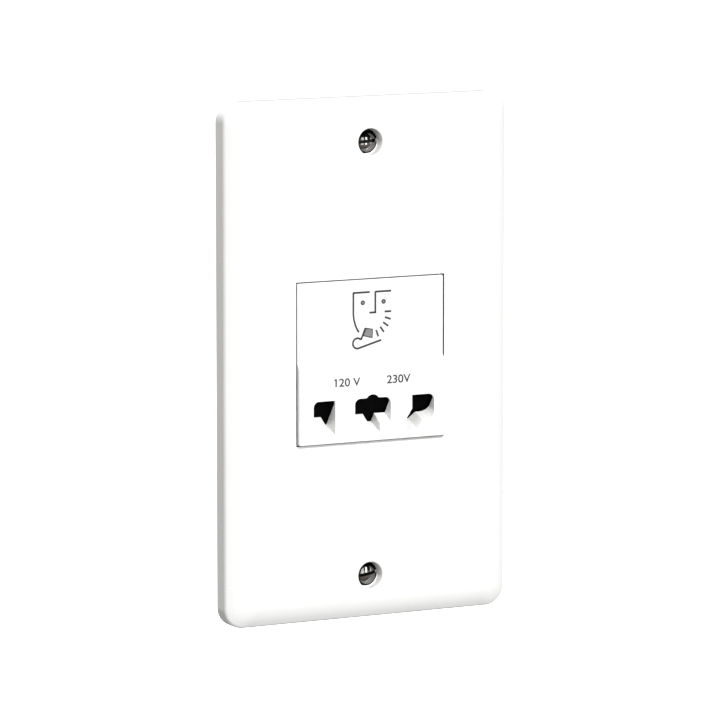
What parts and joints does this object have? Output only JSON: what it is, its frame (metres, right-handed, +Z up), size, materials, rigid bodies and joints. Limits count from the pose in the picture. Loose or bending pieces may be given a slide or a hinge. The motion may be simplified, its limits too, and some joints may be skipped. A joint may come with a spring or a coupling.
{
  "type": "shaver socket",
  "caption": "Wall-mounted dual-voltage shaver socket: rolled-edge plate, square insert with funnelled pin apertures, sprung shutter, switch and isolating transformer in a stepped housing.",
  "frame": {"origin": "centre of the plate's back rim, on the wall plane", "axes": "+X to the viewer's right, +Y into the wall, +Z up"},
  "size_m": [0.087, 0.0479, 0.145],
  "materials": {
    "white_moulding": "gloss moulded white",
    "plated_screw": "bright nickel plate",
    "black_moulding": "satin black",
    "spring_steel": "drawn wire",
    "grey_moulding": "satin grey",
    "contact_bronze": "rolled bronze strip",
    "switch_case": "satin black",
    "switch_button": "satin red",
    "tinned_brass": "tinned",
    "core_steel": "varnished laminations",
    "natural_nylon": "natural nylon",
    "copper_wire": "enamelled copper",
    "zinc_screw": "zinc plate",
    "pillar_brass": "machined brass",
    "lead_insulation": "satin sleeve"
  },
  "bodies": {
    "socket": {"front_plate": "white_moulding", "socket_insert": "white_moulding", "fixing_screws": "plated_screw", "shutter_spring": "spring_steel", "contact_carrier": "grey_moulding", "contact_120v": "contact_bronze", "contact_common": "contact_bronze", "contact_230v": "contact_bronze", "microswitch_body": "switch_case", "switch_terminals": "tinned_brass", "transformer_core": "core_steel", "transformer_bobbin": "natural_nylon", "primary_winding": "copper_wire", "secondary_winding": "copper_wire", "thermal_cutout": "switch_case", "core_screws": "zinc_screw", "terminal_block": "natural_nylon", "terminal_pillars": "pillar_brass", "terminal_screws": "zinc_screw", "rear_housing": "grey_moulding", "assembly_screws": "zinc_screw", "primary_leads": "lead_insulation", "secondary_leads": "lead_insulation"},
    "shutter": {"shutter": "black_moulding"},
    "plunger": {"microswitch_plunger": "switch_button"}
  },
  "joints": [
    {"name": "shutter_slide", "type": "slide", "parent": "socket", "child": "shutter", "axis": [0, 0, 1], "range_m": [0, 0.0084], "stiffness_N_per_m": 60, "springref_m": -0.008, "deforming": ["shutter_spring"]},
    {"name": "plunger_press", "type": "slide", "parent": "socket", "child": "plunger", "axis": [0, 1, 0], "range_m": [0, 0.001]}
  ],
  "couplings": [
    {"joint": "plunger_press", "follows": "shutter_slide", "ratio": 0.119}
  ]
}
